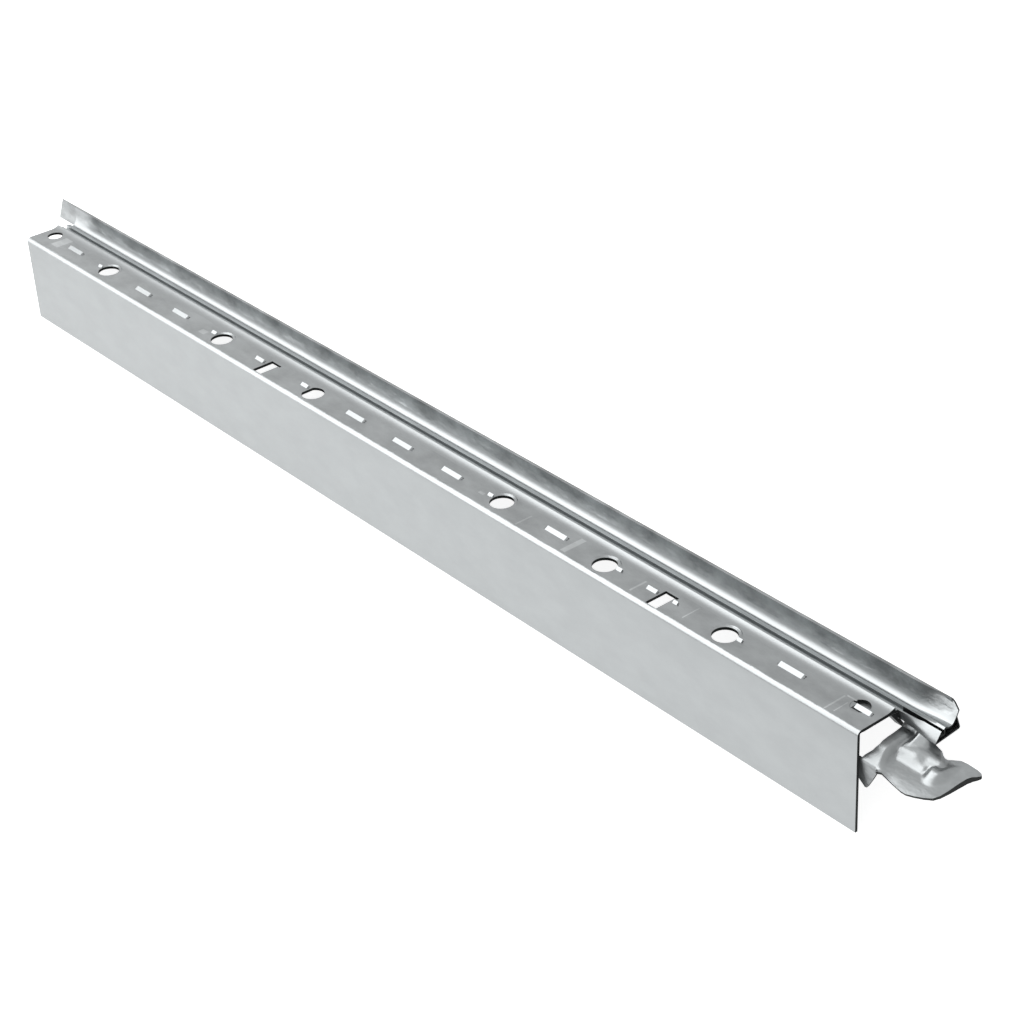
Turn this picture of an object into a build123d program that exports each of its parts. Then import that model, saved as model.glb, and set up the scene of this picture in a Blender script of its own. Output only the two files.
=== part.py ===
from build123d import *
import math
import os

os.makedirs("parts", exist_ok=True)

# Ceiling grid tee of one 600 mm module, in millimetres.
# Lengths are measured in the profile's own directions: along it, back from the face panel, and up from
# the web's top surface. The whole is then turned about its length to the way it lies on a floor.

# Length
bulb_length = 600.0          # the module: the bulb runs end to end
coping = 18.5                # the panel and the web are cut back this much at each end
body_length = bulb_length - 2 * coping

# Sheet
skin = 0.6                   # one layer of the strip
web_sheet = 2 * skin         # two layers pressed together in the panel and the web
panel_height = 43.3
bend_radius = 1.6            # outside of the bend between the panel and the web

# Ridge along the web's back edge
ridge_start = 14.4           # the web begins to rise
ridge_back = 18.2            # its sharp top
ridge_rise = 1.05

# Bulb and lip
wall_front = 19.6            # front wall of the bulb, from the panel's face
bulb_back = 30.5
bulb_drop = 3.9              # how far the bulb's bottom hangs below the web's top surface
bulb_corner = 0.8
lip_top = 7.0
lip_sheet = 1.6              # folded back on itself
lip_round = 0.4
lip_foot = 3.4               # the lip curves forward below this, into the channel
lip_front = bulb_back - lip_sheet
channel_depth = 1.85         # rounded channel at the lip's foot, below the web's top surface
channel_setback = 2.7        # its lowest line, from the lip's front
channel_bulge = 0.9          # how far its wall stands before the lip's front, at the height channel_mid
channel_mid = 0.3
bead_setback = 2.8           # flat bead between the channel and the groove
bead_width = 1.9
bead_drop = 0.5
groove_setback = 1.3
groove_depth = 2.2
lip_cut_along = 4.5          # corner cut off at both ends of the lip
lip_cut_down = 3.0

# Past the right coping the bulb is pressed: the channel flattens, the bead's edge lifts, the front wall
# leans. Past the left coping only its back wall and the lip are left.
pressed_depth = 1.15
pressed_mid = -0.4
pressed_bulge = 0.6
pressed_foot = 1.2
pressed_edge = 1.7           # the bead's edge, back from the front wall
pressed_lift = 0.85
wall_lean = 0.8

# Round holes, then slots: distance from the body's nearer end and from the panel's face
hole_radius = 5.0
holes_right = [(72.6, 8.0), (137.7, 7.8), (200.5, 8.9)]
holes_left = [(163.1, 8.0), (63.0, 9.2)]
cut_hole = (234.8, 7.8)      # from the left; a round hole with its left side cut square
cut_hole_flat = 4.1          # from its centre to the flat side
slot_right = (105.4, 7.0)
slot_left = (200.4, 7.0)
slot_along = 5.9
slot_across = 10.4
slot_notch = 1.3             # small step at the slot's back right corner
stake_right = (9.6, 11.6)    # holes for the end clips' stakes
stake_left = (8.0, 11.5)
stake_radius = 3.75

# End clip: a pressed plate past the body's right end, carried by a root under the web
clip_sheet = 1.1
plate_back = 21.4            # where the plate's top is plate_drop below the web's top surface
plate_drop = 8.0
plate_fall = 0.185           # it falls this much for each millimetre towards the panel
plate_edge = [(1.0, 21.9), (-1.0, 12.2), (0.3, 2.9), (-1.0, 1.8), (7.6, 1.8), (10.4, 0.2), (20.4, -2.3), (31.9, 2.0),
              (34.6, 8.6), (37.6, 20.2), (36.6, 21.3), (29.0, 22.0), (22.3, 18.7), (12.4, 23.8), (3.0, 23.6)]
prong_edge = [(-3.0, 0.4), (7.6, 0.4), (7.6, 1.8), (1.7, 11.0), (-2.4, 8.8)]
prong_face = 1.6             # prong's front, behind the panel's back
rib_width = 6.6
rib_height = 2.3
rib_taper = 35.0
rib_ends = [(10.6, 11.4), (24.0, 10.8)]
root_sheet = 0.8
root_reach = 22.0            # how far the clip's root runs into the body
root_front = 3.6
stake_along = 5.6
stake_across = 4.2
tip_reach = max(u for u, v in plate_edge)

# The way it lies: on the bottom edge of the panel and on the bulb's bottom corner
corner_y = bulb_back - bulb_corner
corner_z = -bulb_drop + bulb_corner
run, rise = corner_y - web_sheet, corner_z + panel_height
lean = math.atan2(rise, run) - math.asin(bulb_corner / math.hypot(run, rise))
turn_c, turn_s = math.cos(lean), math.sin(lean)


def turned(y, z):
    """Depth and height in the lying position, before it is set on the floor."""
    return turn_c * y + turn_s * z, -turn_s * y + turn_c * z


floor_level = turned(web_sheet, -panel_height)[1]
middle_x = (body_length + tip_reach - coping) / 2
middle_y = (turned(0, -panel_height)[0] + turned(bulb_back, lip_top)[0]) / 2
depth_dir = (0, turn_c, -turn_s)
up_dir = (0, turn_s, turn_c)


def at(x, y, z):
    """A point of the profile in the lying position. x is measured from the body's left end."""
    ty, tz = turned(y, z)
    return (x - middle_x, ty - middle_y, tz - floor_level)


def across(x):
    """The plane of the section at x: depth to the right, height up."""
    return Plane(origin=at(x, 0, 0), x_dir=depth_dir, z_dir=(1, 0, 0))


web_plane = Plane(origin=at(0, 0, 0), x_dir=(1, 0, 0), z_dir=up_dir)
back_plane = Plane(origin=at(0, bulb_back, 0), x_dir=(-1, 0, 0), z_dir=depth_dir)
slope = math.atan(plate_fall)
# square to the plate, up
plate_out = tuple(-math.sin(slope) * d + math.cos(slope) * u for d, u in zip(depth_dir, up_dir))
plate_plane = Plane(origin=at(body_length, plate_back, -plate_drop), x_dir=(1, 0, 0), z_dir=plate_out)
front_dir = tuple(-d for d in depth_dir)
prong_top = -plate_drop - plate_fall * (plate_back - prong_face)
prong_plane = Plane(origin=at(body_length, prong_face + clip_sheet, prong_top), x_dir=(1, 0, 0), z_dir=front_dir)


def from_right(spot):
    """Centre of a hole on the web, from its distances to the right end and to the panel's face."""
    return (body_length - spot[0], spot[1])


def on_plate(spot):
    """A place on the plate, from its reach past the body and its distance from the panel's face."""
    return (spot[0], (spot[1] - plate_back) / math.cos(slope))


def bulb_outline(depth, bulge, mid, foot, bead_back, bead_edge, groove_back, groove_front, wall_top):
    """Outline of the bulb and the lip, from the front wall's top round the bottom and the lip to the groove."""
    Polyline(wall_top, (wall_front, -bulb_drop), (bulb_back - bulb_corner, -bulb_drop))
    RadiusArc((bulb_back - bulb_corner, -bulb_drop), (bulb_back, -bulb_drop + bulb_corner), -bulb_corner)
    Polyline((bulb_back, -bulb_drop + bulb_corner), (bulb_back, lip_top - lip_round),
             (bulb_back - lip_round / 2, lip_top), (lip_front + lip_round / 2, lip_top),
             (lip_front, lip_top - lip_round), (lip_front, foot))
    ThreePointArc((lip_front, foot), (lip_front - bulge, mid), (lip_front - channel_setback, -depth))
    Polyline((lip_front - channel_setback, -depth), bead_back, bead_edge, groove_back, groove_front, wall_top)


def middle_outline():
    bulb_outline(channel_depth, channel_bulge, channel_mid, lip_foot,
                 (wall_front + bead_setback + bead_width, -bead_drop), (wall_front + bead_setback, -bead_drop),
                 (wall_front + bead_setback, -groove_depth), (wall_front + groove_setback, -groove_depth),
                 (wall_front, -skin))


def pressed_outline():
    bulb_outline(pressed_depth, pressed_bulge, pressed_mid, pressed_foot,
                 (wall_front + pressed_edge + bead_width, -bead_drop), (wall_front + pressed_edge, pressed_lift),
                 (wall_front + pressed_edge, -bead_drop), (wall_front + groove_setback, -skin),
                 (wall_front + wall_lean, -skin))


def hollow(depth, lowest, bead_back, bead_front, groove_low, front):
    """The space inside the bulb."""
    Polyline((wall_front + skin, skin - bulb_drop), (bulb_back - 2 * skin, skin - bulb_drop),
             (lip_front, lowest), (lip_front - channel_setback + skin, -depth - skin),
             (lip_front - channel_setback - skin, -depth - skin), (bead_back, -bead_drop - skin),
             (bead_front, -bead_drop - skin), (bead_front, -groove_low - skin), (front, -groove_low - skin),
             close=True)


def middle_hollow():
    hollow(channel_depth, -skin, wall_front + bead_setback + bead_width - skin / 2,
           wall_front + bead_setback + skin, groove_depth, wall_front + skin)


def pressed_hollow():
    hollow(pressed_depth, -pressed_depth - 1.5 * skin, wall_front + pressed_edge + 2 * skin,
           wall_front + pressed_edge + skin, 2 * skin, wall_front + wall_lean + skin / 3)


with BuildPart() as tee_profile:
    # back wall and lip past the left coping
    with BuildSketch(across(-coping)):
        with BuildLine():
            Polyline((lip_front, -bulb_drop), (bulb_back - bulb_corner, -bulb_drop))
            RadiusArc((bulb_back - bulb_corner, -bulb_drop), (bulb_back, -bulb_drop + bulb_corner), -bulb_corner)
            Polyline((bulb_back, -bulb_drop + bulb_corner), (bulb_back, lip_top - lip_round),
                     (bulb_back - lip_round / 2, lip_top), (lip_front + lip_round / 2, lip_top),
                     (lip_front, lip_top - lip_round), (lip_front, -bulb_drop))
        make_face()
    extrude(amount=coping)

    # bulb and lip pressed past the right coping
    with BuildSketch(across(body_length)):
        with BuildLine():
            middle_outline()
        make_face()
    with BuildSketch(across(body_length + coping)):
        with BuildLine():
            pressed_outline()
        make_face()
    loft(ruled=True)
    with BuildSketch(across(body_length)):
        with BuildLine():
            middle_hollow()
        make_face()
    with BuildSketch(across(body_length + coping)):
        with BuildLine():
            pressed_hollow()
        make_face()
    loft(ruled=True, mode=Mode.SUBTRACT)

    # the bulb and the lip between the copings
    with BuildSketch(across(0)):
        with BuildLine():
            middle_outline()
        make_face()
    extrude(amount=body_length)
    with BuildSketch(across(0)):
        with BuildLine():
            middle_hollow()
        make_face()
    extrude(amount=body_length, mode=Mode.SUBTRACT)

    # panel and web, between the copings
    with BuildSketch(across(0)):
        with BuildLine():
            Polyline((ridge_start, 0), (0, 0), (0, -panel_height), (web_sheet, -panel_height),
                     (web_sheet, -web_sheet), (wall_front + skin, -web_sheet), (wall_front + skin, -skin),
                     (ridge_back + skin, -skin), (ridge_back + skin / 2, ridge_rise), (ridge_back, ridge_rise))
            ThreePointArc((ridge_back, ridge_rise),
                          ((ridge_start + ridge_back) / 2, ridge_rise / 3), (ridge_start, 0))
        make_face()
        fillet(vertices().sort_by_distance((0, 0, 0))[0], bend_radius)
        fillet(vertices().sort_by_distance((web_sheet, -web_sheet, 0))[0], bend_radius - web_sheet)
    extrude(amount=body_length)

    # corners cut off the lip at both ends
    with BuildSketch(back_plane):
        for end, inward in ((-coping, 1), (body_length + coping, -1)):
            with BuildLine():
                Polyline((-end, lip_top - lip_cut_down), (-end, lip_top + 1), (-end - inward * lip_cut_along, lip_top + 1),
                         (-end - inward * lip_cut_along, lip_top), close=True)
            make_face()
    extrude(amount=-2 * lip_sheet, mode=Mode.SUBTRACT)

    # holes and slots punched through the web
    with BuildSketch(web_plane):
        with Locations(*[from_right(h) for h in holes_right], *holes_left):
            Circle(hole_radius)
        with Locations(from_right(stake_right), stake_left):
            Circle(stake_radius)
        with Locations(cut_hole):
            Circle(hole_radius)
            with Locations((-cut_hole_flat - hole_radius, 0)):
                Rectangle(2 * hole_radius, 2 * hole_radius, mode=Mode.SUBTRACT)
        with Locations(from_right(slot_right), slot_left):
            Rectangle(slot_along, slot_across)
            with Locations((slot_along / 2 + slot_notch / 2, slot_across / 2 - slot_notch / 2)):
                Rectangle(slot_notch, slot_notch)
    extrude(amount=2 * web_sheet, both=True, mode=Mode.SUBTRACT)

with BuildPart() as end_clip:
    # plate, with its stiffening rib pressed up
    with BuildSketch(plate_plane):
        with BuildLine():
            Polyline(*[on_plate(p) for p in plate_edge], close=True)
        make_face()
    extrude(amount=-clip_sheet)
    rib_line = [on_plate(p) for p in rib_ends]
    rib_mid = tuple((p + q) / 2 for p, q in zip(*rib_line))
    rib_long = math.dist(*rib_line)
    rib_tilt = math.degrees(math.atan2(rib_line[1][1] - rib_line[0][1], rib_line[1][0] - rib_line[0][0]))
    with BuildSketch(plate_plane):
        with Locations(rib_mid):
            SlotCenterToCenter(rib_long, rib_width, rotation=rib_tilt)
    extrude(amount=rib_height, taper=rib_taper)
    with BuildSketch(plate_plane.offset(-clip_sheet)):
        with Locations(rib_mid):
            SlotCenterToCenter(rib_long, rib_width - 1.2 * clip_sheet, rotation=rib_tilt)
    extrude(amount=rib_height, taper=rib_taper, mode=Mode.SUBTRACT)

    # prong folded down behind the panel
    with BuildSketch(prong_plane):
        with BuildLine():
            Polyline(*[(u, -below) for u, below in prong_edge], close=True)
        make_face()
    extrude(amount=clip_sheet)

    # root that comes down from the web's underside, past the bulb's corner, to the plate
    with BuildSketch(across(body_length - 3 * clip_sheet)):
        with BuildLine():
            Polyline((wall_front - 3.4, -web_sheet), (wall_front - 0.1, -web_sheet), (wall_front - 0.1, -bulb_drop - 0.1),
                     (wall_front + 1.0, -bulb_drop - 0.6), (plate_back + 1.2, 0.6 - plate_drop),
                     (plate_back + 0.4, -plate_drop - clip_sheet / 2), close=True)
        make_face()
    extrude(amount=5 * clip_sheet)
    with BuildSketch(across(body_length - root_reach)):
        with BuildLine():
            Polyline((root_front, -web_sheet), (wall_front - 0.1, -web_sheet), (wall_front - 0.1, -bulb_drop),
                     (wall_front - 0.1 - root_sheet, -bulb_drop), (wall_front - 0.1 - root_sheet, -web_sheet - root_sheet),
                     (root_front, -web_sheet - root_sheet), close=True)
        make_face()
    extrude(amount=root_reach - 0.6)

    # stake pressed up into the end hole
    with BuildSketch(web_plane.offset(-web_sheet)):
        with Locations(from_right(stake_right)):
            Rectangle(stake_along, stake_across)
    extrude(amount=web_sheet - 0.1)

for part, name in ((tee_profile, "tee_profile"), (end_clip, "end_clip")):
    part.part.label = name
    export_step(part.part, "parts/" + name + ".step")
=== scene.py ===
import math
import bpy
from mathutils import Matrix, Vector
from mathutils.geometry import delaunay_2d_cdt


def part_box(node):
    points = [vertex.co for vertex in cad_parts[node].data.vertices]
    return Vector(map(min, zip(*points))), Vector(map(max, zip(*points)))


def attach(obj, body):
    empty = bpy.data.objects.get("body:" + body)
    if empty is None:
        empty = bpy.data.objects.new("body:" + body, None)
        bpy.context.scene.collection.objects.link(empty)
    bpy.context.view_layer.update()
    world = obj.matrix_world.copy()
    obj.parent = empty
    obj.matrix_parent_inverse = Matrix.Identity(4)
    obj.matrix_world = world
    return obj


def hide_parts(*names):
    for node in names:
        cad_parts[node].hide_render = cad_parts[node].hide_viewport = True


bl_info = {
    "name": "Ceiling Grid Tee",
    "version": (1, 0, 0),
    "blender": (4, 5, 0),
    "location": "View3D > Sidebar > Grid Tee",
    "description": "Dresses a roll-formed ceiling grid tee with its punched web and pressed end clip",
    "category": "Add Mesh",
}

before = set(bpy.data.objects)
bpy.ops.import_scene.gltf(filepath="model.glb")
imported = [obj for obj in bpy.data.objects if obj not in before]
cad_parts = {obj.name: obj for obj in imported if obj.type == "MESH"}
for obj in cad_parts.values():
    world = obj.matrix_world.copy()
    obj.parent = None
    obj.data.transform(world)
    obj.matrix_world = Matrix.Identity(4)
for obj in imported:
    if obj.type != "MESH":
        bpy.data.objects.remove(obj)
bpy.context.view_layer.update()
STRIP_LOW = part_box("tee_profile")[0]

MM = 0.001


# Sizes and colours


class TeeProfileSizes(bpy.types.PropertyGroup):
    """Sizes of the roll-formed strip, in millimetres, in the profile's own directions"""

    bulb_length: bpy.props.FloatProperty(
        name="Bulb length", description="One ceiling module, end to end", default=600.0, min=100)
    coping: bpy.props.FloatProperty(
        name="Coping", description="How far the panel and the web are cut back", default=18.5, min=0)
    skin: bpy.props.FloatProperty(
        name="Skin", description="One layer of the strip", default=0.6, min=0.2)
    panel_height: bpy.props.FloatProperty(
        name="Panel height", description="Face panel, top to bottom", default=43.3, min=10)
    bend_radius: bpy.props.FloatProperty(
        name="Bend radius", description="Outside of the bend over the panel", default=1.6, min=0.5)
    ridge_start: bpy.props.FloatProperty(
        name="Ridge start", description="Where the web begins to rise, from the panel's face", default=14.4)
    ridge_back: bpy.props.FloatProperty(
        name="Ridge back", description="Sharp top of the ridge, from the panel's face", default=18.2)
    ridge_rise: bpy.props.FloatProperty(
        name="Ridge rise", description="Height of the ridge over the web", default=1.05)
    wall_front: bpy.props.FloatProperty(
        name="Bulb front", description="Front wall of the bulb, from the panel's face", default=19.6)
    bulb_back: bpy.props.FloatProperty(
        name="Bulb back", description="Back of the bulb and the lip", default=30.5)
    bulb_drop: bpy.props.FloatProperty(
        name="Bulb drop", description="Bulb's bottom below the web's top", default=3.9)
    bulb_corner: bpy.props.FloatProperty(
        name="Bulb corner", description="Radius of the bulb's back corner", default=0.8)
    lip_top: bpy.props.FloatProperty(
        name="Lip top", description="Lip's top edge over the web", default=7.0)
    lip_sheet: bpy.props.FloatProperty(
        name="Lip thickness", description="Lip folded back on itself", default=1.6)
    lip_cut_along: bpy.props.FloatProperty(
        name="Lip cut, along", description="Corner cut off the lip", default=4.5)
    lip_cut_down: bpy.props.FloatProperty(
        name="Lip cut, down", description="Corner cut off the lip", default=3.0)


class TeeFinish(bpy.types.PropertyGroup):
    """Colours of the tee and of the floor, as sRGB hex"""

    zinc: bpy.props.StringProperty(
        name="Zinc", description="Galvanised strip", default="979A9B")
    lip_zinc: bpy.props.StringProperty(
        name="Lip zinc", description="Zinc of the lip, rubbed by the rolls", default="989B9C")
    # The rubbed zinc is the lighter zinc of the marks on the web: painted highlights
    rubbed: bpy.props.StringProperty(
        name="Rubbed zinc", description="Marks that the clip and the rolls left", default="AEB1B2")
    clip_zinc: bpy.props.StringProperty(
        name="Clip zinc", description="Galvanised clip", default="939697")
    # Sheared edge: bare steel darkened to near black as painted shade on cut ends and hole walls, also used
    # as painted shade in the groove and round the stitches
    sheared_and_shade: bpy.props.StringProperty(
        name="Sheared edge", description="Bare cut edges and hole walls", default="3A3C3C")
    floor: bpy.props.StringProperty(
        name="Floor", description="Plain pale floor", default="EDEDED")


def strip_sizes():
    return bpy.context.scene.tee_profile_sizes


# Places


def lean_angle(size):
    """Turn about the length that rests the tee on its panel edge and its bulb's corner"""
    run = size.bulb_back - size.bulb_corner - 2 * size.skin
    rise = -size.bulb_drop + size.bulb_corner + size.panel_height
    return math.atan2(rise, run) - math.asin(size.bulb_corner / math.hypot(run, rise))


def turned(y, z, lean):
    return math.cos(lean) * y + math.sin(lean) * z, -math.sin(lean) * y + math.cos(lean) * z


def lying(x, y, z):
    """A point of the profile, in millimetres, as a place in the frame, in metres"""
    size = strip_sizes()
    lean = lean_angle(size)
    depth, height = turned(y, z, lean)
    first_depth = turned(0, -size.panel_height, lean)[0]
    floor = turned(2 * size.skin, -size.panel_height, lean)[1]
    return Vector((STRIP_LOW.x + (x + size.coping) * MM,
                   STRIP_LOW.y + (depth - first_depth) * MM,
                   (height - floor) * MM))


def lying_direction(x, y, z):
    depth, height = turned(y, z, lean_angle(strip_sizes()))
    return Vector((x, depth, height)).normalized()


def body_length():
    size = strip_sizes()
    return size.bulb_length - 2 * size.coping


# Small helpers


def smoothstep(t):
    t = min(max(t, 0.0), 1.0)
    return t * t * (3 - 2 * t)


def grown(value, start, length):
    """0 up to the start, 1 past the length from it, and smooth between"""
    return smoothstep((value - start) / length)


def between(first, second, share):
    """Points part of the way from one list to the other"""
    return [tuple(a + (b - a) * share for a, b in zip(p, q)) for p, q in zip(first, second)]


def arc(centre, radius, start, end, steps):
    """Points of an arc, angles in degrees"""
    angles = [math.radians(start + (end - start) * i / steps) for i in range(steps + 1)]
    return [(centre[0] + radius * math.cos(angle), centre[1] + radius * math.sin(angle)) for angle in angles]


def through(points, steps):
    """A smooth open curve through the points, both ends kept"""
    ends = [points[0]] + list(points) + [points[-1]]
    curve = []
    for near in zip(ends, ends[1:], ends[2:], ends[3:]):
        for i in range(steps):
            t = i / steps
            curve.append(tuple(0.5 * (2 * b + (c - a) * t + (2 * a - 5 * b + 4 * c - d) * t * t
                                      + (3 * b - a - 3 * c + d) * t ** 3) for a, b, c, d in zip(*near)))
    return curve + [points[-1]]


# Keeps the inset of a sharp corner short
SHARP_LIMIT = 0.6


def inset(loop, depth):
    """The closed counter-clockwise loop moved inwards, point for point"""
    moved = []
    for (ax, ay), (bx, by), (cx, cy) in zip(loop[-1:] + loop[:-1], loop, loop[1:] + loop[:1]):
        before = Vector((-(by - ay), bx - ax)).normalized()
        after = Vector((-(cy - by), cx - bx)).normalized()
        middle = before + after
        middle = middle / max(middle.length_squared / 2, SHARP_LIMIT)
        moved.append((bx + middle.x * depth, by + middle.y * depth))
    return moved


def drawn_out(count, first=0):
    """Faces of a solid between two counter-clockwise rings, one after the other; its ends come last"""
    sides = [(i, (i + 1) % count, count + (i + 1) % count, count + i) for i in range(count)]
    ends = [tuple(reversed(range(count))), tuple(range(count, 2 * count))]
    return [tuple(first + i for i in face) for face in sides + ends]


def new_mesh_object(name, points, faces, *materials):
    mesh = bpy.data.meshes.new(name)
    mesh.from_pydata([tuple(p) for p in points], [], faces)
    for material in materials:
        mesh.materials.append(material)
    mesh.validate()
    obj = bpy.data.objects.new(name, mesh)
    bpy.context.scene.collection.objects.link(obj)
    return obj


def shear_ends(obj):
    """Gives the last two faces, the cut ends, the second material"""
    for face in list(obj.data.polygons)[-2:]:
        face.material_index = 1


def soften(obj, sharp_degrees):
    mesh = obj.data
    mesh.shade_smooth()
    mesh.set_sharp_from_angle(angle=math.radians(sharp_degrees))


def plain_mesh(obj, name):
    """The object with its modifiers, as one plain mesh object"""
    evaluated = obj.evaluated_get(bpy.context.evaluated_depsgraph_get())
    mesh = bpy.data.meshes.new_from_object(evaluated)
    mesh.name = name
    obj.modifiers.clear()
    obj.data = mesh
    obj.name = name
    return obj


def join(first, others):
    """Makes the others part of the first object"""
    parts = [first, *others]
    with bpy.context.temp_override(active_object=first, object=first, selected_editable_objects=parts):
        bpy.ops.object.join()


def seat(obj, slot, *nodes):
    """Gives a finished piece its body and hides the CAD nodes it stands for; the slot is not used"""
    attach(obj, "root")
    if nodes:
        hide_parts(*nodes)


def add_node(tree, kind, links=(), **settings):
    """Adds a node; links are (input, source socket), settings are attributes or input values"""
    node = tree.nodes.new(kind)
    for key, value in settings.items():
        if hasattr(node, key):
            setattr(node, key, value)
        else:
            node.inputs[key.replace("_", " ")].default_value = value
    for name, source in links:
        tree.links.new(source, node.inputs[name])
    return node


def linear(hex_colour):
    """sRGB hex to the linear colour that a shader takes"""
    parts = [int(hex_colour[i:i + 2], 16) / 255 for i in (0, 2, 4)]
    return tuple(c / 12.92 if c <= 0.04045 else ((c + 0.055) / 1.055) ** 2.4 for c in parts) + (1.0,)


# Materials

# One blotch and one dent of the zinc, in millimetres: 110 and 190 of them to the metre across the strip,
# and rolled out to nearly twice that along it
BLOTCH, DENT, ALONG = 1000 / 110, 1000 / 190, 0.55
# The noise's middle values, from the darkest of a blotch to the palest
DARKEST, PALEST = 0.34, 0.66
# Roughness of each finish
SATIN, RUBBED, PRESSED, BARE = 0.3, 0.34, 0.36, 0.55


def galvanised_steel(name, colour, roughness, blotch=0.03, ripple=0.0):
    """Hot-dip galvanised strip, roll-formed: a dull satin zinc coat that blurs what it mirrors, blotched and
    rippled where the rolls and punches rub it. Blotch is a share of the colour, ripple is in millimetres"""
    material = bpy.data.materials.new(name)
    material.use_nodes = True
    tree = material.node_tree
    shader = tree.nodes["Principled BSDF"]
    shader.inputs["Metallic"].default_value = 1.0
    shader.inputs["Roughness"].default_value = roughness
    place = add_node(tree, "ShaderNodeTexCoord").outputs["Object"]
    rolled = add_node(tree, "ShaderNodeMapping", [("Vector", place)])
    rolled.inputs["Scale"].default_value = (ALONG, 1, 1)
    cloud = add_node(tree, "ShaderNodeTexNoise", [("Vector", rolled.outputs[0])], Scale=1 / (BLOTCH * MM),
                     Detail=4.0, Roughness=0.6)
    share = add_node(tree, "ShaderNodeMapRange", [("Value", cloud.outputs["Fac"])])
    share.inputs["From Min"].default_value = DARKEST
    share.inputs["From Max"].default_value = PALEST
    tint = add_node(tree, "ShaderNodeMix", [("Factor", share.outputs[0])], data_type="RGBA")
    for side, level in ((6, 1 - blotch), (7, 1 + blotch)):
        tint.inputs[side].default_value = tuple(c * level for c in linear(colour)[:3]) + (1,)
    tree.links.new(tint.outputs[2], shader.inputs["Base Color"])
    if ripple:
        dents = add_node(tree, "ShaderNodeTexNoise", [("Vector", rolled.outputs[0])], Scale=1 / (DENT * MM),
                         Detail=3.0, Roughness=0.55)
        bump = add_node(tree, "ShaderNodeBump", [("Height", dents.outputs["Fac"])], Strength=1.0,
                        Distance=ripple * MM)
        tree.links.new(bump.outputs[0], shader.inputs["Normal"])
    return material


def sheared_steel_and_shade(name, colour):
    """Bare steel where the strip was sheared or punched, dull beside the zinc; its near-black colour is
    painted shade, and the same material paints the shade in the groove and round the stitches
    """
    material = bpy.data.materials.new(name)
    material.use_nodes = True
    shader = material.node_tree.nodes["Principled BSDF"]
    shader.inputs["Metallic"].default_value = 1.0
    shader.inputs["Base Color"].default_value = linear(colour)
    shader.inputs["Roughness"].default_value = BARE
    return material


# Bulb and lip

# Depth and height down the lip's front and over the channel, then over the bead and into the groove: first
# between the copings, then at the bulb's right end, where it is pressed flatter
BULB_TOP_INNER = [(28.9, 5.8), (28.85, 4.6), (28.72, 3.4), (28.5, 2.2), (28.25, 1.2), (27.95, 0.3),
                  (27.6, -0.5), (27.2, -1.15), (26.75, -1.6), (26.2, -1.85), (25.7, -1.8), (25.2, -1.45),
                  (24.3, -0.72)]
BULB_TOP_END = [(30.1, 5.8), (29.55, 4.7), (29.0, 3.6), (28.45, 2.5), (27.9, 1.5), (27.4, 0.7), (27.0, 0.15),
                (26.6, -0.2), (26.2, -0.4), (25.6, -0.5), (24.9, -0.5), (24.2, -0.3), (23.5, 0.1)]
BEAD_INNER = [(24.25, -0.68), (22.42, -0.45), (22.4, -0.47), (22.4, -2.2), (20.9, -2.2)]
BEAD_END = [(22.9, 0.3), (22.2, -0.35), (22.4, -0.6), (22.4, -2.2), (21.3, -2.3)]
# Front wall from the groove down, its depth from the bulb's front: straight, and dented at the right end
WALL_INNER = [(0.75, -0.55), (0.2, -0.6), (0.0, -1.2), (0.0, -2.2)]
WALL_END = [(1.75, -0.9), (1.5, -0.6), (1.15, -0.85), (0.2, -2.2)]
# The last sides before the front wall are the groove, in shade; at the pressed right end they take the
# near-black sheared steel as painted shade
GROOVE_SIDES = 3
LIP_EDGE, FRONT_CORNER = 0.3, 0.5
# At the pressed right end: how far the front corner sags, how many times as far it comes forward, how far
# the lip's top is thinned, and how many times as soon the wall takes its dent
SAG, FORWARD, THINNED, DENT_SOONER = 0.9, 1.5, 1.25, 1.6
# Height from which the lip is rubbed
RUBBED_FROM = 0.9
# Lean of the lip's front past the left coping, how far on it is at the coping and how fast it grows
WALL_LEAN, LEAN_START, LEAN_GROWTH = 0.9, 0.15, 1.3
BODY_SPANS, END_SPANS, WALL_SPANS = 10, 12, 8
# The lip's corner is cut over this many cut lengths
CUT_REACH = 2.5


def bulb_loop(size, press):
    """The bulb's outline, counter-clockwise; press is 0 between the copings and 1 at the right end"""
    back, corner, drop, front = size.bulb_back, size.bulb_corner, size.bulb_drop, size.wall_front
    sag = SAG * press
    loop = arc((front + FRONT_CORNER - FORWARD * sag, -drop + FRONT_CORNER - sag), FRONT_CORNER, 180, 270, 4)
    loop += arc((back - corner, -drop + corner), corner, 270, 360, 6)
    loop += [(back, size.lip_top - LIP_EDGE), (back - LIP_EDGE, size.lip_top),
             (back - size.lip_sheet + THINNED * press, size.lip_top)]
    loop += through(between(BULB_TOP_INNER, BULB_TOP_END, press), 4)
    loop += between(BEAD_INNER, BEAD_END, press)
    wall = between(WALL_INNER, WALL_END, min(1.0, DENT_SOONER * press))
    return loop + [(front + y, z) for y, z in wall]


def wall_loop(size, lean):
    """Back wall and lip past the left coping, counter-clockwise; the lip's front leans back by the lean"""
    back, corner, drop = size.bulb_back, size.bulb_corner, size.bulb_drop
    front = back - size.lip_sheet
    loop = [(front, -drop)] + arc((back - corner, -drop + corner), corner, 270, 360, 6)
    return loop + [(back, size.lip_top - LIP_EDGE), (back - LIP_EDGE, size.lip_top),
                   (front + lean, size.lip_top)]


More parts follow.
